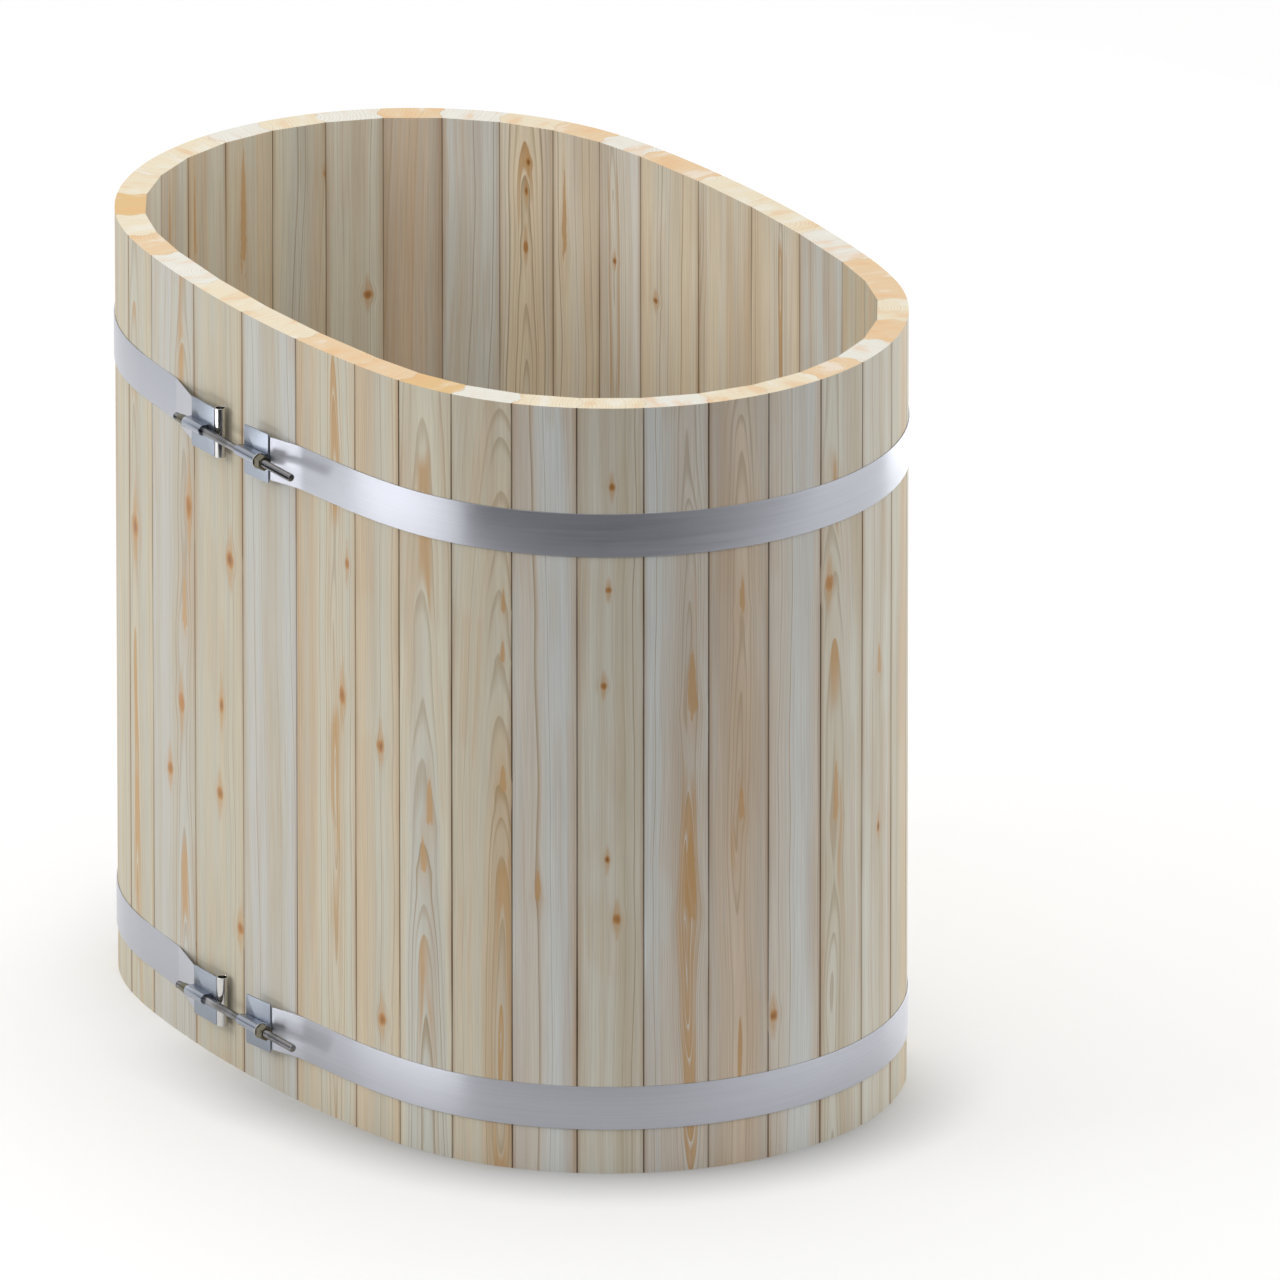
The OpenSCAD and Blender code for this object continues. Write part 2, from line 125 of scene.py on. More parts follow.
# A range eased at both ends, and a mix of two colours
SMOOTH, COLOURS = {"interpolation_type": "SMOOTHSTEP"}, {"data_type": "RGBA"}


def new_material(name):
    """An empty node material, and the function that adds its nodes."""
    material = bpy.data.materials.new(name)
    material.use_nodes = True
    material.node_tree.nodes.clear()
    return material, partial(add, material.node_tree)


def put(name, data):
    """A new object in the scene."""
    thing = bpy.data.objects.new(name, data)
    bpy.context.scene.collection.objects.link(thing)
    return thing


# Timber

# Spruce as sawn and planed, by stave: the tone of its side faces and of the broad bands in them
TIMBERS = {
    "pale": ("#E3E0D3", "#D8D0BC"),
    "grey": ("#E1E3DF", "#DDD5C8"),
    "ash": ("#D3D2CB", "#CEC8B8"),
    "cream": ("#E1DAC5", "#D6D5CA"),
    "straw": ("#D6CCB4", "#D0CCBC"),
    "tan": ("#DECEB2", "#D9D5C4"),
    "honey_painted_light": ("#F2E4CB", "#EDE6D6"),
    "rosy": ("#E1CFB9", "#D5CCBE"),
    "white": ("#F1EFE8", "#E9E2D4"),
}
TONES = {timber: tuple(linear(code) for code in codes) for timber, codes in TIMBERS.items()}
STAVE_TIMBERS = {
    "pale": (2, 3, 17, 22, 34),
    "grey": (1, 8, 15, 33, 35),
    "ash": (26, 28),
    "cream": (5, 18, 21, 31),
    "straw": (24, 25, 27),
    "tan": (4, 6, 7, 19, 20, 23, 29, 30, 32),
    # The honey tone on staves 9, 10, 11, 13 and 14, and the white on 12, is partly their wood's own tone and
    # partly painted light: they are lighter so that the upper inner face of the far wall reads brighter
    "honey_painted_light": (9, 10, 11, 13, 14),
    "rosy": (16, 36),
    "white": (12,),
}
END_GRAIN = {
    "#EAE7DC": (3, 8, 12, 15, 17, 19, 26, 32, 35),
    "#ECDFC3": (1, 5, 9, 10, 18, 20, 21, 22, 24, 27, 28, 33, 34, 36, 14),
    "#E9CBA3": (2, 4, 6, 7, 11, 13, 16, 25, 29, 30),
    "#E3BE84": (23, 31),
}
# The staves sawn flat, where a face shows nested points: how far in millimetres the pith lies across from
# the middle, anticlockwise, and how far the rings shift in each metre of height
FLAT_SAWN = {
    2: (-14, 26), 5: (8, 30), 9: (-10, 24), 12: (6, 30), 14: (2, 38), 25: (-12, 26), 26: (30, 24),
    29: (18, -28), 31: (4, 30), 32: (29, -70), 35: (18, -36), 36: (3, -30),
}
# A board's thickness and half a knot's depth in millimetres, and the darkness under which a mark is a streak
WALL_DEPTH, KNOT_DEPTH, STREAK = 37, 14, 0.05
END_ORANGE, END_WHITE = linear("#E6B57E"), linear("#EFEDE6")
LATEWOOD = linear("#A08458")
HEARTWOOD = linear("#CBA06A")
JOINT_TAN = linear("#B48D62")
JOINT_DIRT = linear("#62503A")
KNOT_TAN = linear("#C08440")
KNOT_DARK = linear("#704320")

# Knots and streaks of heartwood, by stave: in millimetres how far the knot is from the stave's middle,
# anticlockwise round the tub, its height, its half width and half height, and then how dark it is. Those of
# the INNER staves are on the inner face and the others on the outer one
INNER = range(11, 22)
KNOTS = {
    1: [(-34, 185, 7, 9, 0.9)],
    2: [(-26, 731, 8, 13, 0.2), (-13, 456, 7, 44, 0.0)],
    3: [(3, 600, 6, 22, 0.0), (1, 380, 4, 9, 1.0)],
    11: [(28, 818, 6, 5, 0.8)],
    12: [(10, 850, 4, 5, 0.8)],
    13: [(19, 890, 5, 60, 0.0)],
    14: [(-3, 953, 4, 6, 1.0), (0, 914, 3, 8, 1.0), (1, 840, 4, 10, 0.2)],
    17: [(-17, 768, 7, 7, 0.6)],
    18: [(-38, 933, 4, 7, 0.9)],
    19: [(9, 905, 6, 88, 0.0)],
    20: [(24, 925, 3, 62, 0.0)],
    21: [(14, 938, 3, 38, 0.0)],
    25: [(-18, 624, 11, 20, 0.7)],
    26: [(45, 702, 9, 19, 0.5), (23, 439, 9, 15, 0.1), (32, 575, 8, 42, 0.0), (-10, 342, 10, 10, 0.5)],
    27: [(30, 666, 11, 13, 0.8), (8, 468, 6, 12, 0.7), (3, 351, 9, 10, 0.6), (52, 188, 9, 10, 0.5)],
    29: [(44, 736, 5, 9, 0.5), (34, 561, 7, 14, 0.6)],
    30: [(7, 514, 8, 10, 0.7), (9, 156, 8, 10, 0.6)],
    31: [(8, 461, 7, 36, 0.0), (-1, 389, 6, 26, 0.0)],
    32: [(30, 741, 4, 16, 0.0), (29, 676, 4, 16, 0.0), (29, 511, 6, 19, 0.0)],
    33: [(-8, 375, 5, 22, 0.0)],
    34: [
        (-2, 764, 5, 5, 0.5), (-8, 639, 5, 6, 0.6), (-4, 412, 4, 6, 1.0),
        (8, 334, 6, 8, 0.5), (2, 898, 5, 6, 0.6),
    ],
    35: [(20, 637, 8, 46, 0.0), (18, 384, 10, 60, 0.0)],
    36: [(4, 744, 5, 24, 0.0), (3, 473, 5, 26, 0.0)],
}


def spruce_group():
    """Sawn spruce as a solid pattern, shared by every board. Its place is in metres on the board's own
    axes: X across the board, Y into the wood from its face and Z along its fibres. The growth rings are
    cylinders round the pith, which drifts and leans along the board, so that a face cut near the
    middle of the trunk shows nested points and one cut towards its side shows straight lines."""
    tree = bpy.data.node_groups.new("sawn_spruce", "ShaderNodeTree")
    new = partial(add, tree)
    for way, kind, names in (
        ("INPUT", "Vector", ("Place", "Pith", "Lean", "Seed", "Fibres")),
        ("INPUT", "Float", ("Ring", "Half width", "Narrowing")),
        ("INPUT", "Color", ("Tone", "Band", "End")),
        ("OUTPUT", "Color", ("Color",)),
        ("OUTPUT", "Float", ("Roughness", "Height")),
    ):
        for name in names:
            tree.interface.new_socket(name, in_out=way, socket_type="NodeSocket" + kind)
    given = tree.nodes.new("NodeGroupInput").outputs
    made = tree.nodes.new("NodeGroupOutput").inputs
    place = given["Place"]
    parts = new("SeparateXYZ", place)
    seed = new("SeparateXYZ", given["Seed"])

    # The trunk drifts by up to 15 mm over about 0.2 m across and 0.5 m along the board
    drift_at = new("VectorMath MULTIPLY_ADD", place, (5, 5, 2.2), given["Seed"])
    drift = new("TexNoise", drift_at, 1.0, 2.0)
    drift = drift.outputs["Color"]
    drift = new("VectorMath MULTIPLY_ADD", drift, (0.03, 0.03, 0), (-0.015, -0.015, 0))
    leaned = new("VectorMath SCALE", given["Lean"], parts.outputs["Z"])
    leaned = new("VectorMath ADD", given["Pith"], leaned)
    off_pith = new("VectorMath SUBTRACT", place, leaned)
    off_pith = new("VectorMath ADD", off_pith, drift)
    off_pith = new("VectorMath MULTIPLY", off_pith, (1, 1, 0))
    radius = new("VectorMath LENGTH", off_pith)
    rings = new("Math DIVIDE", radius, given["Ring"])

    # Good and bad years: the rings lie closer and wider apart
    years = new("TexNoise", rings, 0.31, 1.0, noise_dimensions="1D")
    rings = new("Math MULTIPLY_ADD", years, 2.2, rings)
    rings = new("Math ADD", rings, seed.outputs["X"])
    number = new("Math FLOOR", rings)
    share = new("Math FRACT", rings)
    dice = new("TexWhiteNoise", number, noise_dimensions="1D")
    dice = new("SeparateColor", dice.outputs["Color"])

    # Latewood: each ring darkens slowly and ends sharply, faintly in most years and strongly in a few. Over
    # the pith, where the face cuts a ring at a slant, all of them show
    late = new("MapRange", share, 0.5, 0.92, 0.0, 1.0, **SMOOTH)
    late_end = new("MapRange", share, 0.94, 1.0, 1.0, 0.0, **SMOOTH)
    late = new("Math MULTIPLY", late, late_end)
    weight = new("MapRange", dice.outputs["Red"], 0.74, 0.96, 0.08, 0.72)
    across = new("SeparateXYZ", off_pith)
    across = new("Math ABSOLUTE", across.outputs["X"])
    juvenile = new("MapRange", across, 0.010, 0.026, 0.4, 0.0, **SMOOTH)
    weight = new("Math MAXIMUM", weight, juvenile)
    line = new("Math MULTIPLY", late, weight)

    # Broad soft bands of another tone, about ten rings wide, and a warm flush in places along the board
    band_at = new("Math ADD", rings, seed.outputs["Y"])
    band = new("TexNoise", band_at, 0.11, 2.0, noise_dimensions="1D")
    band = new("MapRange", band, 0.36, 0.64, 0.0, 1.0, **SMOOTH)
    side = new("Mix", band, given["Tone"], given["Band"], **COLOURS)
    flush_at = new("VectorMath MULTIPLY_ADD", place, (26, 26, 1.6), given["Seed"])
    flush = new("TexNoise", flush_at, 1.0, 1.0)
    flush = new("MapRange", flush, 0.48, 0.72, 0.0, 0.26, **SMOOTH)
    side = new("Mix", flush, side, JOINT_TAN, **COLOURS)
    side = new("Mix", line, side, LATEWOOD, **COLOURS)

    # Heartwood: ochre fills the tips of some rings over the pith, and marks a ring faintly elsewhere
    stain_at = new("VectorMath MULTIPLY_ADD", place, (12, 12, 5), given["Seed"])
    stain = new("TexNoise", stain_at, 1.0, 1.0)
    stain = new("MapRange", stain, 0.44, 0.56, 0.0, 1.0, **SMOOTH)
    stained = new("MapRange", dice.outputs["Green"], 0.5, 0.56, 0.0, 1.0)
    tip = new("MapRange", across, 0.004, 0.013, 0.8, 0.16, **SMOOTH)
    inside = new("MapRange", share, 0.0, 0.25, 0.0, 1.0, **SMOOTH)
    stain = new("Math MULTIPLY", stain, stained)
    stain = new("Math MULTIPLY", stain, inside)
    stain = new("Math MULTIPLY", stain, tip)
    side = new("Mix", stain, side, HEARTWOOD, **COLOURS)

    # Fibres: streaks 2 mm wide and 100 mm long, drawn about four times as coarse as real ones, to show
    fibre_at = new("VectorMath MULTIPLY", place, (520, 520, 9))
    fibre = new("TexNoise", fibre_at, 1.0, 2.0, 0.6)
    tint = new("MapRange", fibre, 0.25, 0.75, 0.91, 1.08)
    side = new("VectorMath SCALE", side, tint)

    # The planed face is darker tan for 7 mm beside the joints, and soaks up dirt for 1 mm
    edge = new("Math ABSOLUTE", parts.outputs["X"])
    edge = new("Math MULTIPLY_ADD", parts.outputs["Y"], given["Narrowing"], edge)
    edge = new("Math SUBTRACT", given["Half width"], edge)
    patchy_at = new("VectorMath MULTIPLY_ADD", place, (40, 0, 3), given["Seed"])
    patchy = new("TexNoise", patchy_at, 1.0, 2.0)
    patchy = new("MapRange", patchy, 0.36, 0.64, 0.0, 0.5)
    joint_band = new("MapRange", edge, 0.0075, 0.001, 0.0, 1.0, **SMOOTH)
    joint_band = new("Math MULTIPLY", joint_band, patchy)
    side = new("Mix", joint_band, side, JOINT_TAN, **COLOURS)
    dirt = new("MapRange", edge, 0.0010, 0.0004, 0.0, 1.0, **SMOOTH)
    grime = new("MapRange", patchy, 0.0, 0.5, 0.3, 0.9)
    dirt = new("Math MULTIPLY", dirt, grime)
    side = new("Mix", dirt, side, JOINT_DIRT, **COLOURS)

    # End grain is cut across the fibres: rings as faint arcs, soft orange patches and pores 1.5 mm apart
    end_line = new("Math MULTIPLY", late, 0.2)
    end = new("Mix", end_line, given["End"], LATEWOOD, **COLOURS)
    patch_at = new("VectorMath MULTIPLY_ADD", place, (34, 14, 20), given["Seed"])
    patch = new("TexNoise", patch_at, 1.0, 3.0)
    warm = new("MapRange", patch, 0.5, 0.68, 0.0, 0.5, **SMOOTH)
    end = new("Mix", warm, end, END_ORANGE, **COLOURS)
    cool = new("MapRange", patch, 0.3, 0.46, 0.5, 0.0, **SMOOTH)
    end = new("Mix", cool, end, END_WHITE, **COLOURS)
    pores = new("TexNoise", place, 650.0, 1.0)
    pore_tint = new("MapRange", pores, 0.3, 0.7, 0.93, 1.03)
    end = new("VectorMath SCALE", end, pore_tint)

    normal = new("NewGeometry").outputs["Normal"]
    facing = new("VectorMath DOT_PRODUCT", normal, given["Fibres"])
    facing = new("Math ABSOLUTE", facing)
    facing = new("MapRange", facing, 0.55, 0.8, 0.0, 1.0)
    color = new("Mix", facing, side, end, **COLOURS)
    tree.links.new(color.outputs[2], made["Color"])

    # Latewood is denser, so it planes smoother and stands a little proud
    side_rough = new("Math MULTIPLY_ADD", line, -0.2, 0.62)
    rough = new("Math MULTIPLY_ADD", facing, 0.16, side_rough)
    tree.links.new(rough.outputs[0], made["Roughness"])
    height = new("Math MULTIPLY_ADD", fibre, 0.5, line)
    tree.links.new(height.outputs[0], made["Height"])
    return tree


SPRUCE = spruce_group()


def board_place(node, fibres):
    """Where a board's own axes lie: X across it, Y into the wood from its outer face and Z along its
    fibres, with the origin in the middle of that face. Across and in are the main axes of its points.
    Returns the rotation and shift that take object coordinates there, half its width at the outer face,
    and how much less that is for each metre of depth."""
    points = np.empty(len(node.data.vertices) * 3)
    node.data.vertices.foreach_get("co", points)
    points = points.reshape(-1, 3)
    along = np.array(fibres, float)
    middle = points.mean(0)
    flat = (points - middle) - np.outer((points - middle) @ along, along)
    out = np.cross(along, np.linalg.svd(flat.T @ flat)[0][:, 0])
    if out @ (middle - (0, TUB_Y, middle[2] - 1)) < 0:
        out = -out
    across = np.cross(along, out)
    depth = (points - middle) @ out
    # A face's points are those within 4 mm of it
    reach = (points - middle)[depth > depth.max() - 4 * MM] @ across
    back_reach = (points - middle)[depth < depth.min() + 4 * MM] @ across
    half_width, back_half_width = np.ptp(reach) / 2, np.ptp(back_reach) / 2
    narrowing = (half_width - back_half_width) / np.ptp(depth)
    origin = middle + out * depth.max() + across * (reach.max() + reach.min()) / 2
    origin = origin - along * (origin @ along)
    turn = Matrix((across, -out, along))
    return turn.to_euler("XYZ"), turn @ -Vector(origin), half_width, narrowing


def spruce(name, node, tones, fibres, chance, knots=(), face_depth=0, flat_sawn=None):
    """Spruce as sawn, planed and left bare: pale cream to blue-grey with thin brown ring lines, orange
    heartwood and tan knots. It is matt, with a soft sheen on the dense latewood."""
    material, new = new_material(name)
    turn, shift, half_width, narrowing = board_place(node, fibres)
    at = new("Mapping", new("TexCoord").outputs["Object"], shift, turn)
    ragged_at = new("VectorMath MULTIPLY", at, (260, 260, 50))
    ragged = new("TexNoise", ragged_at, 1.0, 2.0)
    ragged = new("MapRange", ragged, 0.2, 0.8, -0.28, 0.28)

    # The grain flows round each knot, which has a tail of ochre above and below. A streak of heartwood
    # tapers upwards from a blunt foot
    marks = []
    for across, height, half_across, half_along, dark in knots:
        centre = Vector((across, face_depth, height)) * MM
        from_knot = new("VectorMath SUBTRACT", at, centre)
        scale = (1 / (half_across * MM), 1 / (KNOT_DEPTH * MM), 1 / (half_along * MM))
        shape = new("VectorMath MULTIPLY", from_knot, scale)
        if dark < STREAK:
            split = new("SeparateXYZ", shape)
            taper = new("MapRange", split.outputs["Z"], -0.8, 1.2, 0.85, 2.4)
            taper = new("CombineXYZ", taper, 1.0, 1.0)
            shape = new("VectorMath MULTIPLY", shape, taper)
        distance = new("VectorMath LENGTH", shape)
        push = new("MapRange", distance, 0.0, 3.0, 0.8, 0.0, **SMOOTH)
        bend = new("VectorMath MULTIPLY", from_knot, (1, 0, 0))
        bend = new("VectorMath SCALE", bend, push)
        at = new("VectorMath SUBTRACT", at, bend)
        tail = new("VectorMath MULTIPLY", shape, (1.3, 1.0, 0.3))
        tail = new("VectorMath LENGTH", tail)
        marks.append([new("Math ADD", reach, ragged) for reach in (distance, tail)] + [dark])

    if flat_sawn:
        pith = (flat_sawn[0] * MM, chance.uniform(12, 20) * MM, 0)
        lean = (chance.uniform(-0.008, 0.008), flat_sawn[1] * MM, 0)
    else:
        pith = (chance.choice([-1, 1]) * chance.uniform(55, 95) * MM, chance.uniform(-5, 30) * MM, 0)
        lean = (chance.uniform(-0.012, 0.012), chance.uniform(-0.01, 0.01), 0)
    seed = tuple(chance.uniform(0, 100, 3))
    ring = chance.uniform(3.2, 4.8) * MM
    values = (at, pith, lean, seed, fibres, ring, half_width, narrowing, *tones)
    grain = new("Group", *values, node_tree=SPRUCE)
    color = grain.outputs["Color"]
    rough = grain.outputs["Roughness"]
    for reach, tail, dark in marks:
        halo = new("MapRange", reach, 0.8, 2.6, 0.2, 0.0, **SMOOTH)
        color = new("Mix", halo, color, HEARTWOOD, **COLOURS)
        if dark:
            streak = new("MapRange", tail, 0.5, 1.3, 0.5, 0.0, **SMOOTH)
            color = new("Mix", streak, color, HEARTWOOD, **COLOURS)
        first, last, body = (0.8, 1.02, 0.78) if dark < STREAK else (0.5, 1.1, 0.85)
        knot = new("MapRange", reach, first, last, body, 0.0, **SMOOTH)
        color = new("Mix", knot, color, HEARTWOOD if dark < STREAK else KNOT_TAN, **COLOURS)
        if dark:
            heart = new("MapRange", reach, 0.1, 0.7, dark * 0.7, 0.0, **SMOOTH)
            color = new("Mix", heart, color, KNOT_DARK, **COLOURS)
        rough = new("Math MULTIPLY_ADD", knot, -0.15, rough)
    bump = new("Bump", named={"Height": grain.outputs["Height"], "Strength": 0.3, "Distance": 0.2 * MM})
    named = {"Base Color": color, "Roughness": rough, "IOR": 1.5, "Normal": bump}
    new("OutputMaterial", new("BsdfPrincipled", named=named))
    return material


# Metal and rubber

def steel(name, color, rough, lines_mm, across, brushed=0.0, stained=None):
    """A bare metal. Its grinding or drawing lines run along the surface at that spacing, across the
    direction given, and make the gloss change from line to line."""
    material, new = new_material(name)
    object_at = new("TexCoord").outputs["Object"]
    stretch = tuple(1 / (lines_mm * MM) if flag else 6.0 for flag in across)
    lines_at = new("VectorMath MULTIPLY", object_at, stretch)
    lines = new("TexNoise", lines_at, 1.0, 3.0, 0.65)
    cloud = new("TexNoise", object_at, 24.0, 3.0)
    low, high = rough
    gloss = new("MapRange", lines, 0.3, 0.7, low, high)
    gloss = new("Math MULTIPLY_ADD", cloud, (high - low) * 0.5, gloss)
    tint = new("MapRange", lines, 0.3, 0.7, 0.94, 1.04)
    shade = new("VectorMath SCALE", linear(color)[:3], tint)
    if stained:
        mark = new("MapRange", cloud, 0.5, 0.68, 0.0, 0.7, **SMOOTH)
        shade = new("Mix", mark, shade, linear(stained), **COLOURS)
    bump = new("Bump", named={"Height": lines, "Strength": 0.12, "Distance": 0.05 * MM})
    named = {"Base Color": shade, "Metallic": 1.0, "Roughness": gloss, "Normal": bump}
    if brushed:
        tangent = new("Tangent", direction_type="RADIAL", axis="Z")
        named.update({"Anisotropic": brushed, "Anisotropic Rotation": 0.25, "Tangent": tangent})
    new("OutputMaterial", new("BsdfPrincipled", named=named))
    return material


def rubber(name, color):
    """Moulded EPDM rubber: dull black-grey with a fine grain from its mould and a soft grey bloom."""
    material, new = new_material(name)
    object_at = new("TexCoord").outputs["Object"]
    grain = new("TexNoise", object_at, 900.0, 2.0)
    bloom = new("TexNoise", object_at, 60.0, 3.0)
    bloom = new("MapRange", bloom, 0.4, 0.7, 0.0, 0.35)
    shade = new("Mix", bloom, linear(color), linear("#6A6A68"), **COLOURS)
    rough = new("MapRange", grain, 0.3, 0.7, 0.62, 0.8)
    bump = new("Bump", named={"Height": grain, "Strength": 0.3, "Distance": 0.1 * MM})
    named = {"Base Color": shade, "Roughness": rough, "IOR": 1.5, "Normal": bump}
    new("OutputMaterial", new("BsdfPrincipled", named=named))
    return material


# Rolled strip, belt-ground along its length: a satin grey whose gloss stays sharp along the hoop and
# smears up and down, so that it turns from white to dark round the tub
HOOP_STEEL = steel("satin_stainless_strip", "#B7B9C1", (0.30, 0.37), 1.8, (0, 0, 1), brushed=0.9)
# Cut from ground sheet on a guillotine: a flat blue-grey with faint lines along it and blurred reflections
PLATE_STEEL = steel("brushed_stainless_plate", "#9AA1AC", (0.28, 0.40), 1.6, (0, 0, 1))
# Thin tube, drawn and polished: nearly a mirror, with hard white and black streaks down its length
TUBE_STEEL = steel("polished_stainless_tube", "#CFCECC", (0.06, 0.12), 3.0, (0, 0, 1))
# Thick tube, drawn and left bright: smoother than the plates, with drawing lines along it
SLEEVE_STEEL = steel("drawn_stainless_sleeve", "#9BA1AD", (0.12, 0.22), 1.6, (0, 1, 1))
# Drawn bar with rolled threads: a dark gloss, dulled in places by a film of grease
STUD_STEEL = steel("rolled_thread_steel", "#908F92", (0.10, 0.20), 3.0, (1, 0, 0), stained="#514F4D")
# Forged, tumbled and left oiled: a dark olive film, with sharp glints on its corners
NUT_STEEL = steel("oiled_nut_steel", "#716C5C", (0.12, 0.24), 2.2, (0, 0, 1), stained="#3A3427")
# Stamped and tumbled: a plain grey with soft edges and a blurred gloss
WASHER_STEEL = steel("stamped_washer_steel", "#B5B4B2", (0.22, 0.34), 2.0, (0, 1, 1))
# Cold-formed and passivated: a light grey, slightly uneven gloss
SCREW_STEEL = steel("stainless_screw", "#BEBDBA", (0.24, 0.36), 2.0, (0, 0, 1))
# Turned on a lathe and polished: bright, with the faint rings of the tool
DRAIN_STEEL = steel("turned_stainless_drain", "#CFCECB", (0.16, 0.28), 1.8, (1, 1, 0))
# Moulded under pressure: near black and dull
SEAL_RUBBER = rubber("moulded_seal_rubber", "#2B2B2B")
PLUG_RUBBER = rubber("moulded_plug_rubber", "#3A3A3C")


# Shapes

def grid_faces(rows, columns, close_rows, close_columns):
    """The quads of a grid of points in row order, carried round where a direction is closed."""
    row = np.arange(rows if close_rows else rows - 1)
    column = np.arange(columns if close_columns else columns - 1)
    a, b = (part.ravel() for part in np.meshgrid(row, column, indexing="ij"))
    c, d = (a + 1) % rows, (b + 1) % columns
    return np.stack([a * columns + b, c * columns + b, c * columns + d, a * columns + d], -1).tolist()


def capped_faces(rows, columns):
    """The faces of closed rings in rows, with a flat cap on the first and the last."""
    caps = [list(range(columns)), list(range((rows - 1) * columns, rows * columns))]
    return grid_faces(rows, columns, False, True) + caps


def eased(corners, radius, steps=4, closed=True):
    """A line with its corners rounded: at each one the quadratic curve from a radius before the corner,
    drawn to the corner, to a radius after it. The ends of an open line stay."""
    corners = np.array(corners, float)
    radius = np.broadcast_to(np.array(radius, float), len(corners))[:, None, None]
    before, after = np.roll(corners, 1, 0) - corners, np.roll(corners, -1, 0) - corners
    before /= np.linalg.norm(before, axis=1)[:, None]
    after /= np.linalg.norm(after, axis=1)[:, None]
    t = np.linspace(0, 1, steps)[None, :, None]
    start = corners[:, None] + before[:, None] * radius
    end = corners[:, None] + after[:, None] * radius
    curve = (1 - t) ** 2 * start + 2 * t * (1 - t) * corners[:, None] + t ** 2 * end
    if closed:
        return curve.reshape(-1, corners.shape[1])
    return np.concatenate([corners[:1], curve[1:-1].reshape(-1, corners.shape[1]), corners[-1:]])


def round_axis(radius, along, centre, axis, closed=True):
    """A surface round an axis. Rows are turns round it and columns are points of its outline, and a point
    is centre + along on the axis + radius out from it at that row's turn. A closed outline makes a ring,
    and an open one a solid with a flat cap at each end."""
    sides, columns = radius.shape
    turn = np.linspace(0, 2 * np.pi, sides, endpoint=False)[:, None]
    first, second = {"X": ((0, -1, 0), (0, 0, 1)), "Z": ((1, 0, 0), (0, 1, 0))}[axis]
    lengthwise = {"X": (1, 0, 0), "Z": (0, 0, 1)}[axis]
    points = (
        np.array(centre)
        + along[..., None] * np.array(lengthwise)
        + (radius * np.cos(turn))[..., None] * np.array(first)
        + (radius * np.sin(turn))[..., None] * np.array(second)
    ).reshape(-1, 3)
    faces = grid_faces(sides, columns, True, closed)
    if not closed:
        ring = np.arange(sides) * columns
        faces += [ring.tolist(), (ring[::-1] + columns - 1).tolist()]
    return points, faces


def lathe(outline, sides, centre, axis, closed=True):
    """A turned part: one outline of (radius, along) carried round the axis."""
    outline = np.array(outline)
    radius = np.repeat(outline[None, :, 0], sides, 0)
    along = np.repeat(outline[None, :, 1], sides, 0)
    return round_axis(radius, along, centre, axis, closed)


def slab(outline, thickness, edge, place):
    """A flat plate: its outline of (x, z) drawn at four depths, pulled in by the edge at the first and
    last, with a cap on each. The function place takes x, depth and z to points of the model."""
    outline = np.array(outline)
    ahead, behind = np.roll(outline, -1, 0), np.roll(outline, 1, 0)
    run = ahead - behind
    inward = np.stack([-run[:, 1], run[:, 0]], -1) / np.linalg.norm(run, axis=1)[:, None]
    if np.sum(inward * (outline.mean(0) - outline)) < 0:
        inward = -inward
    count = len(outline)
    rings = [(edge, 0), (edge * 0.3, edge * 0.3), (0, edge), (0, thickness - edge),
             (edge * 0.3, thickness - edge * 0.3), (edge, thickness)]
    layers = [np.column_stack([outline + inward * pull, np.full(count, depth)]) for pull, depth in rings]
    x, z, depth = np.concatenate(layers).T
    points = np.stack(place(x, depth, z), -1)
    return points, capped_faces(len(rings), count)


def make_piece(name, shells, body, material, replaced, crease=32):
    """One piece from closed shells of (points, faces). Its faces are turned outwards, and shaded smooth
    up to the crease angle."""
    points, faces = [], []
    for shell_points, shell_faces in shells:
        faces += [[corner + len(points) for corner in face] for face in shell_faces]
        points += shell_points.tolist()
    mesh = bpy.data.meshes.new(name)
    mesh.from_pydata(points, [], faces)
    work = bmesh.new()
    work.from_mesh(mesh)
    bmesh.ops.recalc_face_normals(work, faces=work.faces)
    work.to_mesh(mesh)
    work.free()
    mesh.polygons.foreach_set("use_smooth", np.ones(len(mesh.polygons), bool))
    mesh.set_sharp_from_angle(angle=math.radians(crease))
    mesh.materials.append(material)
    thing = put(name, mesh)
    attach(thing, body)
    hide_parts(*replaced)


# Hoops

def oval_arcs():
    """Radii and centres, in the first quarter, of the wall's end, shoulder and side arcs. The shoulder's
    radius comes from its stave. The other two make the arcs meet smoothly and give the length and width."""
    start, stop = END_TURN, END_TURN + SHOULDER_TURN
    shoulder = SHOULDER_WIDTH / SHOULDER_TURN
    rest = np.array([
        HALF_LENGTH - shoulder * (math.cos(start) - math.cos(stop)),
        HALF_WIDTH - shoulder * (math.sin(stop) - math.sin(start)),
    ])
    shares = np.array([[1 - math.cos(start), math.cos(stop)], [math.sin(start), 1 - math.sin(stop)]])
    end, side = np.linalg.solve(shares, rest)
    end_centre = np.array([HALF_LENGTH - end, 0])
    shoulder_centre = end_centre + (end - shoulder) * np.array([math.cos(start), math.sin(start)])
    return np.array([end, shoulder, side]), np.array([end_centre, shoulder_centre, [0, HALF_WIDTH - side]])


RADII, CENTRES = oval_arcs()
SIDE_RADIUS = RADII[2]


def wall_line(turn, out):
    """Points so far outside the wall, where its normal is at these turns from +X: the centre of the arc
    there plus the arc's radius along the normal, mirrored into each quarter."""
    along_x, along_y = np.cos(turn), np.sin(turn)
    folded = np.arctan2(np.abs(along_y), np.abs(along_x))
    arc = np.searchsorted([END_TURN, END_TURN + SHOULDER_TURN], folded)
    centre = CENTRES[arc] * np.stack([np.sign(along_x), np.sign(along_y)], -1)
    reach = (RADII[arc] + out)[:, None]
    return centre + reach * np.stack([along_x, along_y], -1) + (0, TUB_Y)


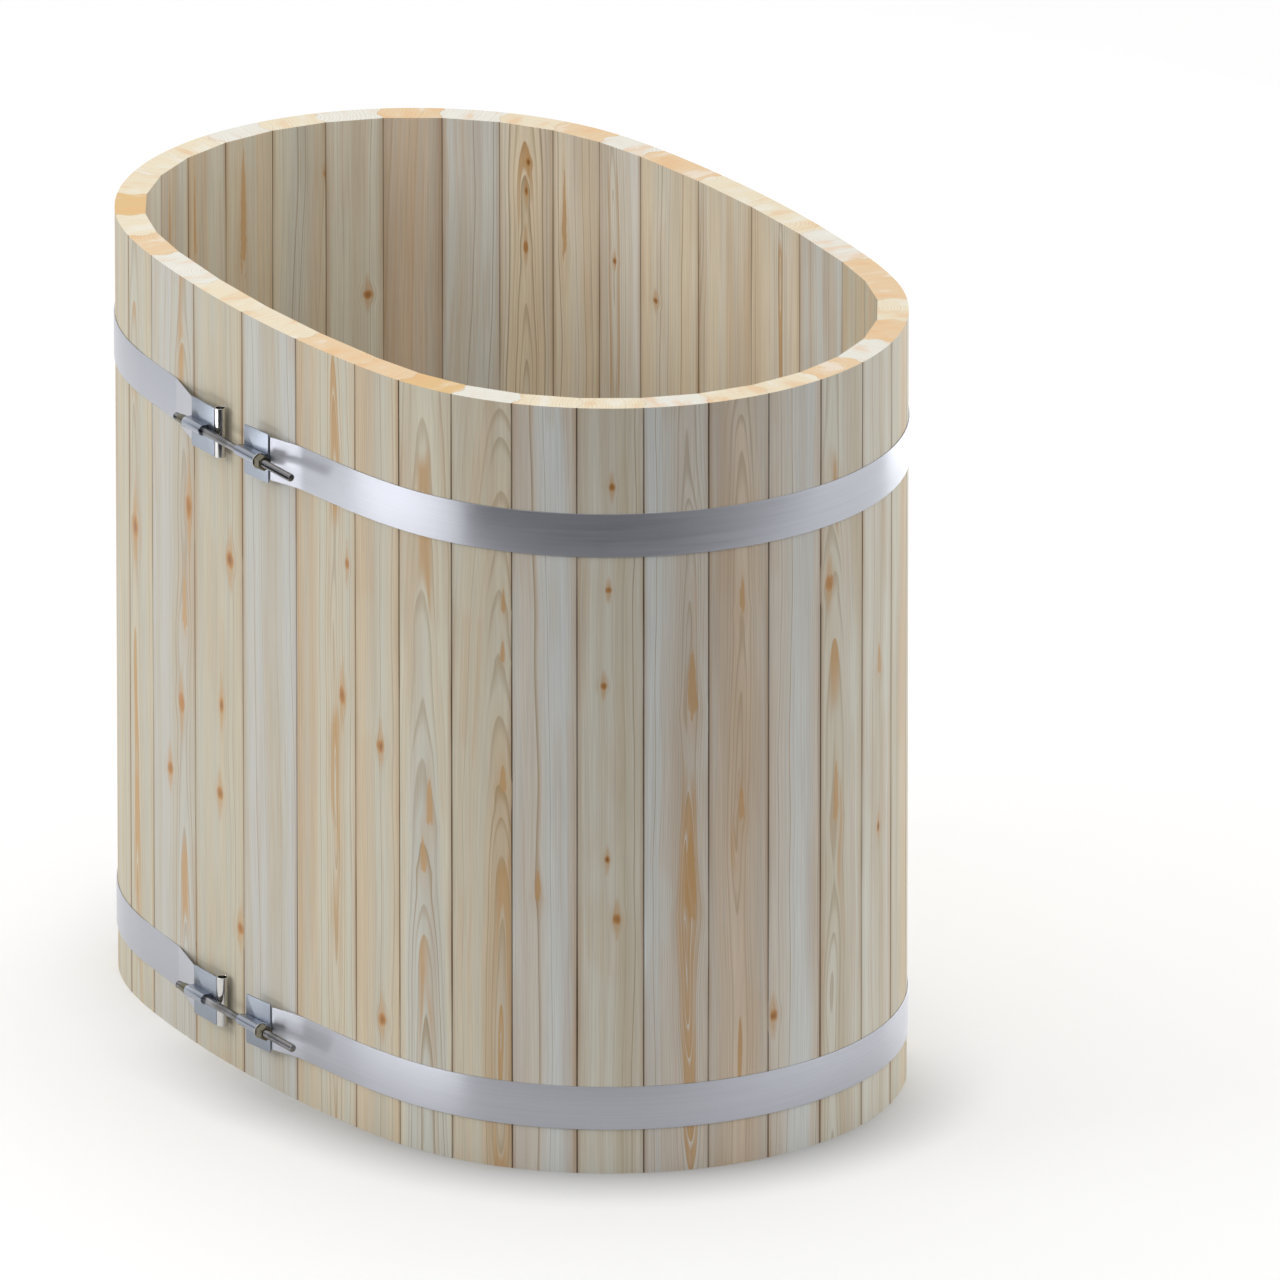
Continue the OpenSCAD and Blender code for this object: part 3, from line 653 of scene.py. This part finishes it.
def hoop_path():
    """The middle line of a hoop's strip, anticlockwise from its right end: along the back of the sloping
    right plate, round the wall, and out again to lie behind the left plate."""
    half = HOOP_THICKNESS / 2
    out = HOOP_CLEARANCE + half
    lift = np.arcsin(np.array([RIGHT_LIFT, LEFT_LIFT]) / SIDE_RADIUS)
    turn = np.linspace(-np.pi / 2 + lift[0], 1.5 * np.pi - lift[1], HOOP_STATIONS)
    wall = wall_line(turn, out)
    left_y = PLATE_Y + PLATE_THICKNESS + half
    right_x = RIGHT_PLATE_END - np.array([RIGHT_PLATE_OVERLAP, 0])
    right_y = left_y + (right_x - PLATE_START) * math.tan(PLATE_FALL)
    right = [(right_x[0], right_y[0]), (right_x[1], right_y[1]), wall[0], wall[4]]
    left_x = -LEFT_PLATE_START
    left = [wall[-8], wall[-1], (left_x, left_y), (left_x + LEFT_PLATE_OVERLAP, left_y)]
    right = eased(right, np.array([0, 4, 16, 0]) * MM, 7, closed=False)
    left = eased(left, np.array([0, 3, 10, 0]) * MM, 9, closed=False)
    return np.concatenate([right[:-1], wall[4:-7], left[1:]])


def hoop_strip(low, high):
    """A hoop: the strip's section of (out, up), a rectangle with rolled edges, carried along its path."""
    path = hoop_path()
    run = np.gradient(path, axis=0)
    out = np.stack([run[:, 1], -run[:, 0]], -1) / np.linalg.norm(run, axis=1)[:, None]
    half = HOOP_THICKNESS / 2
    section = eased([(-half, low), (half, low), (half, high), (-half, high)], HOOP_EDGE, 4)
    flat = path[:, None] + out[:, None] * section[None, :, :1]
    up = np.broadcast_to(section[None, :, 1:], (*flat.shape[:2], 1))
    return np.concatenate([flat, up], -1).reshape(-1, 3), capped_faces(*flat.shape[:2])


for hoop in ("upper_hoop", "lower_hoop"):
    low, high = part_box(hoop)
    make_piece(hoop + "_strip", [hoop_strip(low[2], high[2])], "tub", HOOP_STEEL, [hoop])


# Tensioners

MIDDLES = [(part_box(hoop)[0][2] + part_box(hoop)[1][2]) / 2 for hoop in ("lower_hoop", "upper_hoop")]
PLATE_HALF_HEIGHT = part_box("left_end_plates")[1][2] - MIDDLES[1]


def end_plate(start, end, fall, middle):
    """An end plate with rounded corners and dulled edges, its face on the line that falls to the wall."""
    corners = [(start, -PLATE_HALF_HEIGHT), (end, -PLATE_HALF_HEIGHT), (end, PLATE_HALF_HEIGHT),
               (start, PLATE_HALF_HEIGHT)]
    outline = eased(corners, 1.6 * MM, 5)
    return slab(
        outline, PLATE_THICKNESS, 0.35 * MM,
        lambda x, depth, z: (x, PLATE_Y + (x - PLATE_START) * math.tan(fall) + depth, z + middle),
    )


def end_tube(middle):
    """The upright tube at the left plate's end: a ring outline with rounded lips."""
    inner = TUBE_RADIUS - TUBE_WALL
    outline = eased([
        (inner, -PLATE_HALF_HEIGHT), (TUBE_RADIUS, -PLATE_HALF_HEIGHT),
        (TUBE_RADIUS, PLATE_HALF_HEIGHT), (inner, PLATE_HALF_HEIGHT),
    ], 0.6 * MM, 5)
    return lathe(outline, 48, (-TUBE_PLACE, PLATE_Y + TUBE_RADIUS, middle), "Z")


def sleeve(middle, stations, radius, foot_half, back, bare):
    """A sleeve on its foot: at each station along the stud, the section is the larger of a circle and the
    foot, which runs back to the plate between two flat sides, and bare stations are the circle alone.
    The outline closes through the stud's bore."""
    sides = 96
    turn = np.linspace(0, 2 * np.pi, sides, endpoint=False)[:, None]
    towards_wall = np.clip(-np.cos(turn), 1e-6, None)
    foot = np.minimum(foot_half / np.clip(np.abs(np.sin(turn)), 1e-6, None), back / towards_wall)
    foot = np.where(np.cos(turn) < 0, foot, 0)
    shape = np.where(bare, radius, np.maximum(radius, foot))
    inside = np.full((sides, 2), SLEEVE_BORE)
    radii = np.concatenate([inside[:, :1], shape, inside[:, 1:]], 1)
    along = np.repeat(np.concatenate([stations[:1], stations, stations[-1:]])[None], sides, 0)
    return round_axis(radii, along, (0, STUD_Y, middle), "X")


def left_sleeve(middle):
    """The left sleeve, from its plate's left edge."""
    start, end = SLEEVE_START, LEFT_SLEEVE_END
    stations = np.array([start, start + 0.5 * MM, end - 0.5 * MM, end])
    radius = np.array([6.8, 7, 7, 6.6]) * MM
    return sleeve(middle, stations, radius, SLEEVE_FOOT, PLATE_SETBACK, False)


def left_nose(middle):
    """The left sleeve's nose, past its plate. Its radius is a quarter of a sine wave along it."""
    share = np.linspace(0, 1, 9)
    nose_radius = (5.75 + 1.05 * np.sin(share * np.pi / 2)) * MM
    tip = SLEEVE_START - NOSE
    stations = np.concatenate([[tip], tip + NOSE_LIP + share * (NOSE - NOSE_LIP)])
    radius = np.concatenate([[5.4 * MM], nose_radius])
    return sleeve(middle, stations, radius, 0, 0, True)


def right_sleeve(middle):
    """The right sleeve, whose foot grows deeper as its plate falls to the wall."""
    start, foot_start, end = RIGHT_SLEEVE_START, PLATE_START, RIGHT_SLEEVE_END
    stations = np.array([start, start + 0.5 * MM, foot_start - 0.02 * MM, foot_start, end - 0.5 * MM, end])
    radius = np.array([6.6, 7, 7, 7, 7, 6.6]) * MM
    bare = np.arange(len(stations)) < 3
    back = PLATE_SETBACK + np.clip(stations - PLATE_START, 0, None) * math.tan(PLATE_FALL)
    return sleeve(middle, stations, radius, SLEEVE_FOOT, back, bare)


def stud(middle):
    """A stud with rolled thread at both ends. In the threads the radius follows a rounded sawtooth of the
    place along the stud less the pitch times the turn, so that each ridge is one helix."""
    left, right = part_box("tension_studs")[0][0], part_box("tension_studs")[1][0]
    major = STUD_RADIUS
    step = THREAD_PITCH / 6
    tip = 1 * MM
    along = np.concatenate([
        np.arange(left, LEFT_THREAD_END, step), [-95 * MM, 40 * MM],
        np.arange(RIGHT_THREAD_START, right, step), [right],
    ])
    sides = 24
    turn = np.arange(sides)[:, None] / sides
    phase = (along[None] / THREAD_PITCH - turn) % 1
    ridge = np.clip(np.abs(2 * phase - 1) * 1.5 - 0.2, 0, 1)
    threaded = (along < LEFT_THREAD_END) | (along > RIGHT_THREAD_START)
    radius = major - THREAD_DEPTH * np.where(threaded[None], ridge, 0)
    ends = np.minimum(along - left, right - along)[None]
    radius = np.minimum(radius, major - np.clip(tip - ends, 0, None))
    return round_axis(radius, np.repeat(along[None], sides, 0), (0, STUD_Y, middle), "X", closed=False)


def hexagon_nut(flats, thickness, bore, centre, axis, corner_first):
    """A nut: outside, the radius is half the flats over the cosine of the turn from the nearest flat's
    middle, and each end falls away by a 30 degree cone, which cuts the flats in arcs."""
    sides = 96
    turn = np.degrees(np.linspace(0, 2 * np.pi, sides, endpoint=False))[:, None]
    shift = 0 if corner_first else 30
    outer = flats / 2 / np.cos(np.radians((turn + shift) % 60 - 30))
    face = np.full_like(outer, flats / 2 * 0.95)
    drop = (outer - face) * math.tan(math.radians(30))
    lead = np.full_like(outer, bore + NUT_LEAD)
    inner = np.full_like(outer, bore)
    radius = np.concatenate([lead, face, outer, outer, face, lead, inner, inner], 1)
    zero = np.zeros_like(outer)
    along = np.concatenate([
        zero, zero, zero + drop, thickness - drop, zero + thickness, zero + thickness,
        zero + thickness - NUT_LEAD, zero + NUT_LEAD,
    ], 1)
    return round_axis(radius, along, centre, axis)


def flat_washer(low, high, centre_z):
    """A stamped washer: a ring outline whose outer corners are rolled over."""
    outer, thickness = (high[2] - low[2]) / 2, high[0] - low[0]
    corners = [(WASHER_BORE, 0), (outer, 0), (outer, thickness), (WASHER_BORE, thickness)]
    return lathe(eased(corners, 0.35 * MM, 4), 64, (low[0], STUD_Y, centre_z), "X")


# The left plate lies flat against the end of its hoop, and the right one falls to the wall
left_plate = partial(end_plate, -LEFT_PLATE_START, LEFT_PLATE_END, 0)
right_plate = partial(end_plate, PLATE_START, RIGHT_PLATE_END, PLATE_FALL)

# Each of these pieces has one copy at each hoop: how it is made, its slot, its metal, its node and its crease
for name, shape, slot, metal, node, crease in (
    ("left_plates", left_plate, "plate_steel", PLATE_STEEL, "left_end_plates", 32),
    ("right_plates", right_plate, "plate_steel", PLATE_STEEL, "right_end_plates", 32),
    ("upright_tubes", end_tube, "tube_steel", TUBE_STEEL, "end_tubes", 32),
    ("left_stud_sleeves", left_sleeve, "sleeve_steel", SLEEVE_STEEL, "left_sleeves", 32),
    ("left_stud_noses", left_nose, "sleeve_steel", NUT_STEEL, "left_sleeves", 32),
    ("right_stud_sleeves", right_sleeve, "sleeve_steel", SLEEVE_STEEL, "right_sleeves", 32),
    ("threaded_studs", stud, "stud_steel", STUD_STEEL, "tension_studs", 50),
):
    make_piece(name, [shape(z) for z in MIDDLES], "tub", metal, [node], crease)
for level, z in zip(("lower", "upper"), MIDDLES):
    low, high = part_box(level + "_nut")
    make_piece(
        level + "_hexagon_nut",
        [hexagon_nut(high[1] - low[1], high[0] - low[0], SLEEVE_BORE, (low[0], STUD_Y, z), "X", False)],
        level + "_nut", NUT_STEEL, [level + "_nut"],
    )
    low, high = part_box(level + "_washer")
    make_piece(
        level + "_flat_washer", [flat_washer(low, high, z)],
        level + "_washer", WASHER_STEEL, [level + "_washer"],
    )


# Drain

drain_low, drain_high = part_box("drain_body")
FLOOR_TOP = drain_high[2]
DRAIN_BORE, SPIGOT_RADIUS, TAIL_RADIUS, TAIL_HOLE = 17 * MM, 20 * MM, 23.9 * MM, 23.95 * MM
DRAIN_CENTRE = (0, TUB_Y, 0)
# How wide a floor screw's head is in the CAD
SCREW_HEAD = 10 * MM


def drain_fitting():
    """The drain's body, turned: a dished flange, the tail down through the floor and the plain spigot."""
    flange = (drain_high[0] - drain_low[0]) / 2
    top, seat, tail_end, bottom = FLOOR_TOP, FLOOR_TOP - 3 * MM, 55 * MM, drain_low[2]
    corners = np.array([
        (DRAIN_BORE, bottom), (SPIGOT_RADIUS, bottom), (SPIGOT_RADIUS, tail_end), (TAIL_RADIUS, tail_end),
        (TAIL_RADIUS, seat), (flange, seat), (flange, top - 1.2 * MM), (flange - 3 * MM, top),
        (24 * MM, top - 0.4 * MM), (DRAIN_BORE, top - 2.4 * MM),
    ])
    ease = np.array([0.5, 0.8, 0.6, 0.8, 0.4, 0.6, 0.5, 0.8, 2.5, 0.8]) * MM
    return lathe(eased(corners, ease, 5), 96, DRAIN_CENTRE, "Z")


def plug():
    """The plug: a tapered stem, a domed cap with a rolled rim and a waisted knob to lift it by."""
    low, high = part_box("drain_plug")
    seat = FLOOR_TOP + 0.3 * MM
    knob = high[2]
    corners = np.array([
        (15.4 * MM, low[2]), (16.7 * MM, low[2] + 3 * MM), (16.7 * MM, seat), (26 * MM, seat),
        (26 * MM, seat + 2.6 * MM), (21 * MM, seat + 4 * MM), (6 * MM, seat + 4 * MM),
        (4.9 * MM, seat + 9 * MM), (6 * MM, knob - 9 * MM), (10 * MM, knob - 7 * MM),
        (10 * MM, knob - 2 * MM), (6 * MM, knob),
    ])
    ease = np.array([0, 1, 0.5, 0.7, 1.0, 2, 2, 2, 1.5, 1.5, 2, 0]) * MM
    return lathe(eased(corners, ease, 6, closed=False), 64, DRAIN_CENTRE, "Z", closed=False)


def floor_screw(x, y, low, top):
    """A pan-head screw from below: a six-lobed recess, whose radius is a wave of the turn, in a domed
    head, then the shank and its point."""
    sides = 36
    turn = np.linspace(0, 2 * np.pi, sides, endpoint=False)[:, None]
    lobes = (2.1 + 0.35 * np.cos(6 * turn)) * MM
    heights = np.array([1.9, 1.9, 0.1, 0.0, 0.6, 1.6, 3.6, 4.0, 4.0]) * MM + low
    radii = np.array([0, 0, 0, 3.3, 4.4, 4.9, 4.9, 4.6, 2.45]) * MM
    radius = np.repeat(radii[None], sides, 0)
    radius[:, 0:1] = lobes * 0.5
    radius[:, 1:2] = lobes * 0.92
    radius[:, 2:3] = lobes
    shank = np.array([(2.45 * MM, top - 8 * MM), (0.4 * MM, top)])
    radius = np.concatenate([radius, np.repeat(shank[None, :, 0], sides, 0)], 1)
    along = np.repeat(np.concatenate([heights, shank[:, 1]])[None], sides, 0)
    return round_axis(radius, along, (x, y, 0), "Z", closed=False)


make_piece("drain_fitting", [drain_fitting()], "tub", DRAIN_STEEL, ["drain_body"])
low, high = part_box("drain_back_nut")
make_piece(
    "drain_hexagon_nut",
    [hexagon_nut(high[1] - low[1], high[2] - low[2], TAIL_HOLE, (0, TUB_Y, low[2]), "Z", True)],
    "tub", DRAIN_STEEL, ["drain_back_nut"],
)
make_piece("rubber_plug", [plug()], "drain_plug", PLUG_RUBBER, ["drain_plug"])
low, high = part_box("floor_screws")
screw_x, screw_y = (low[0] + high[0]) / 2, (low[1] + high[1]) / 2
screw_reach = Vector((high[0] - low[0] - SCREW_HEAD, high[1] - low[1] - SCREW_HEAD, 0)) / 2
make_piece(
    "pan_head_screws",
    [
        floor_screw(screw_x + side * screw_reach.x, screw_y + share * screw_reach.y, low[2], high[2])
        for side in (-1, 1) for share in (-1, -0.5, 0, 0.5, 1)
    ],
    "tub", SCREW_STEEL, ["floor_screws"],
)


# Finishes on the frame's own pieces

def dress(node, material):
    """Gives one of the frame's own pieces its finish."""
    node.data.materials.clear()
    node.data.materials.append(material)


def dress_board(name, tones, fibres, seed, **marks):
    """Gives one of the frame's boards its own spruce, with its seed for what varies."""
    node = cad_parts[name]
    dress(node, spruce("spruce_" + name, node, tones, fibres, np.random.default_rng(seed), **marks))


side_tones = {number: TONES[timber] for timber, numbers in STAVE_TIMBERS.items() for number in numbers}
end_tones = {number: linear(code) for code, numbers in END_GRAIN.items() for number in numbers}
for number, name in enumerate(STAVES, 1):
    dress_board(
        name, (*side_tones[number], end_tones[number]), (0, 0, 1), number, knots=KNOTS.get(number, ()),
        face_depth=WALL_DEPTH if number in INNER else 0, flat_sawn=FLAT_SAWN.get(number),
    )
for count, (name, timber) in enumerate(zip(BOARDS, ("cream", "pale", "tan", "cream", "rosy"))):
    dress_board(name, (*TONES[timber], end_tones[1]), (1, 0, 0), 100 + count, flat_sawn=(5, 20))
for count, name in enumerate(BATTENS):
    dress_board(name, (*TONES["tan"], end_tones[2]), (0, 1, 0), 200 + count)
dress(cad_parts["drain_gasket"], SEAL_RUBBER)


# Stage, light and camera

VIEW_AZIMUTH, VIEW_ELEVATION = math.radians(57.92), math.radians(19.8)
VIEW_DISTANCE = 48.6
# The tub's middle lies this far left of and below the picture's middle
AIM_RIGHT, AIM_DOWN = 160.6 * MM, 4.1 * MM
SENSOR = 36
PIXELS_PER_TURN = 39130
PICTURE_PIXELS = 1280
towards_camera = Vector((math.sin(VIEW_AZIMUTH), -math.cos(VIEW_AZIMUTH), 0))

# The studio's brightness overhead, and low down by azimuth in degrees: the camera's side is the dark one
OVERHEAD_STRENGTH = 1.0
SIDE_STRENGTHS = ((-32, 0.09), (58, 1.5), (148, 2.1), (238, 0.1))
# The paper as it is seen, as it throws light back on the tub, and the dark grey painted on it towards the
# camera as painted shade
PAPER_SEEN, PAPER_BOUNCE, PAPER_PAINTED_SHADE = linear("#F8F8F8"), linear("#A4A4A4"), linear("#404042")
# The strength of the glow that lifts the seen paper to white
FLOOR_LIFT = 0.05
# How far from the foot a painted shadow, from the tub's ambient occlusion, darkens the paper
PAINTED_FOOT_SHADOW = 130 * MM
FLOOR_RADIUS = 60
MIDDLE_HEIGHT = 0.5


def stage_floor():
    """Smooth white paper, rolled out on a studio floor: it shows white, throws less light back on the tub
    than it shows, and is painted darker grey towards the camera, past what that sees, as painted shade. It
    keeps the tub's shadow, and beside the foot on the camera's side a painted shadow from the tub's occlusion
    darkens it further."""
    material, new = new_material("white_paper_floor")
    place = new("TexCoord").outputs["Object"]
    ahead = new("VectorMath DOT_PRODUCT", place, tuple(towards_camera))
    # Painted shade: from 1 m to 1.9 m towards the camera the paper's colour falls to dark grey
    paper = new("MapRange", ahead, 1.0, 1.9, 1.0, 0.0, **SMOOTH)
    path = new("LightPath")
    seen = new("Math MAXIMUM", path.outputs["Is Camera Ray"], path.outputs["Is Glossy Ray"])
    seen = new("Math MAXIMUM", seen, path.outputs["Is Transmission Ray"])
    near = new("Mix", seen, PAPER_BOUNCE, PAPER_SEEN, **COLOURS)
    shade = new("Mix", paper, PAPER_PAINTED_SHADE, near, **COLOURS)
    # Painted shadow: within reach of the foot, the tub's ambient occlusion darkens the paper's colour, most
    # on the camera's side
    occlusion_for_painted_shadow = new("AmbientOcclusion", named={"Distance": PAINTED_FOOT_SHADOW}).outputs["AO"]
    occlusion_for_painted_shadow = new("Math SUBTRACT", 1.0, occlusion_for_painted_shadow)
    painted_shadow_front = new("MapRange", ahead, 0.05, 0.45, 0.1, 1.0, **SMOOTH)
    foot = new("Math MULTIPLY", occlusion_for_painted_shadow, painted_shadow_front)
    foot = new("Math SUBTRACT", 1.0, foot)
    shade = new("VectorMath SCALE", shade, foot)
    lift = new("Math MULTIPLY", seen, paper)
    lift = new("Math MULTIPLY", lift, foot)
    lift = new("Math MULTIPLY", lift, FLOOR_LIFT)
    new("OutputMaterial", new("BsdfPrincipled", named={
        "Base Color": shade, "Roughness": 0.9, "Specular IOR Level": 0.0,
        "Emission Color": (1, 1, 1, 1), "Emission Strength": lift,
    }))
    sides = 96
    turn = np.linspace(0, 2 * np.pi, sides, endpoint=False)
    ring = np.stack([np.cos(turn), np.sin(turn), np.zeros(sides)], -1) * FLOOR_RADIUS
    mesh = bpy.data.meshes.new("paper_floor")
    mesh.from_pydata(ring.tolist(), [], [list(range(sides))])
    mesh.materials.append(material)
    floor = put("paper_floor", mesh)


def studio_world():
    """A white studio: one strength overhead, and low down one for each of four sides. A side's share is the
    square of the cosine of the angle to its middle, so that the four meet smoothly."""
    world = bpy.data.worlds.new("studio")
    bpy.context.scene.world = world
    world.use_nodes = True
    world.node_tree.nodes.clear()
    new = partial(add, world.node_tree)
    direction = new("TexCoord").outputs["Generated"]
    height = new("SeparateXYZ", direction).outputs["Z"]
    low_down = 0
    for azimuth, side_strength in SIDE_STRENGTHS:
        middle = (math.cos(math.radians(azimuth)), math.sin(math.radians(azimuth)), 0)
        share = new("VectorMath DOT_PRODUCT", direction, middle)
        share = new("Math MAXIMUM", share, 0.0)
        share = new("Math POWER", share, 2.0)
        low_down = new("Math MULTIPLY_ADD", share, side_strength, low_down)
    above = new("MapRange", height, 0.1, 0.6, 0.0, 1.0, **SMOOTH)
    strength = new("Mix", above, low_down, OVERHEAD_STRENGTH, data_type="FLOAT")
    new("OutputWorld", new("Background", (1, 1, 1, 1), strength))


def soft_box(name, azimuth, distance, height, size, power):
    """A soft box at that azimuth in degrees from +X round the tub, turned to it. It lights the tub and
    shows in its metal, and no camera sees it."""
    azimuth = math.radians(azimuth)
    lamp = bpy.data.lights.new(name, "AREA")
    lamp.shape = "RECTANGLE"
    lamp.size, lamp.size_y = size
    lamp.energy = power
    thing = put(name, lamp)
    place = Vector((distance * math.cos(azimuth), distance * math.sin(azimuth), height))
    thing.location = place
    thing.visible_camera = False
    thing.rotation_euler = (Vector((0, TUB_Y, MIDDLE_HEIGHT)) - place).to_track_quat("-Z", "Y").to_euler()


def photo_camera():
    """The camera at the photograph's angle, far off and with a long lens, as its straight lines ask."""
    back = Vector((
        math.sin(VIEW_AZIMUTH) * math.cos(VIEW_ELEVATION),
        -math.cos(VIEW_AZIMUTH) * math.cos(VIEW_ELEVATION),
        math.sin(VIEW_ELEVATION),
    ))
    turn = back.to_track_quat("Z", "Y")
    right, up = turn @ Vector((1, 0, 0)), turn @ Vector((0, 1, 0))
    camera = bpy.data.cameras.new("photo_camera")
    camera.sensor_width = SENSOR
    camera.lens = SENSOR * PIXELS_PER_TURN / PICTURE_PIXELS
    camera.clip_end = 200
    thing = put("photo_camera", camera)
    aim = Vector((0, TUB_Y, MIDDLE_HEIGHT)) + right * AIM_RIGHT - up * AIM_DOWN
    thing.location = aim + back * VIEW_DISTANCE
    thing.rotation_euler = turn.to_euler()
    bpy.context.scene.camera = thing


stage_floor()
studio_world()
soft_box("key_box", -106, 3.1, 1.9, (2.0, 1.0), 22)
soft_box("strip_box", -102, 2.8, 0.18, (2.2, 0.3), 10)
soft_box("rim_box", 108, 3.4, 0.45, (2.4, 0.8), 16)
photo_camera()
bpy.context.scene.view_settings.view_transform = "Standard"
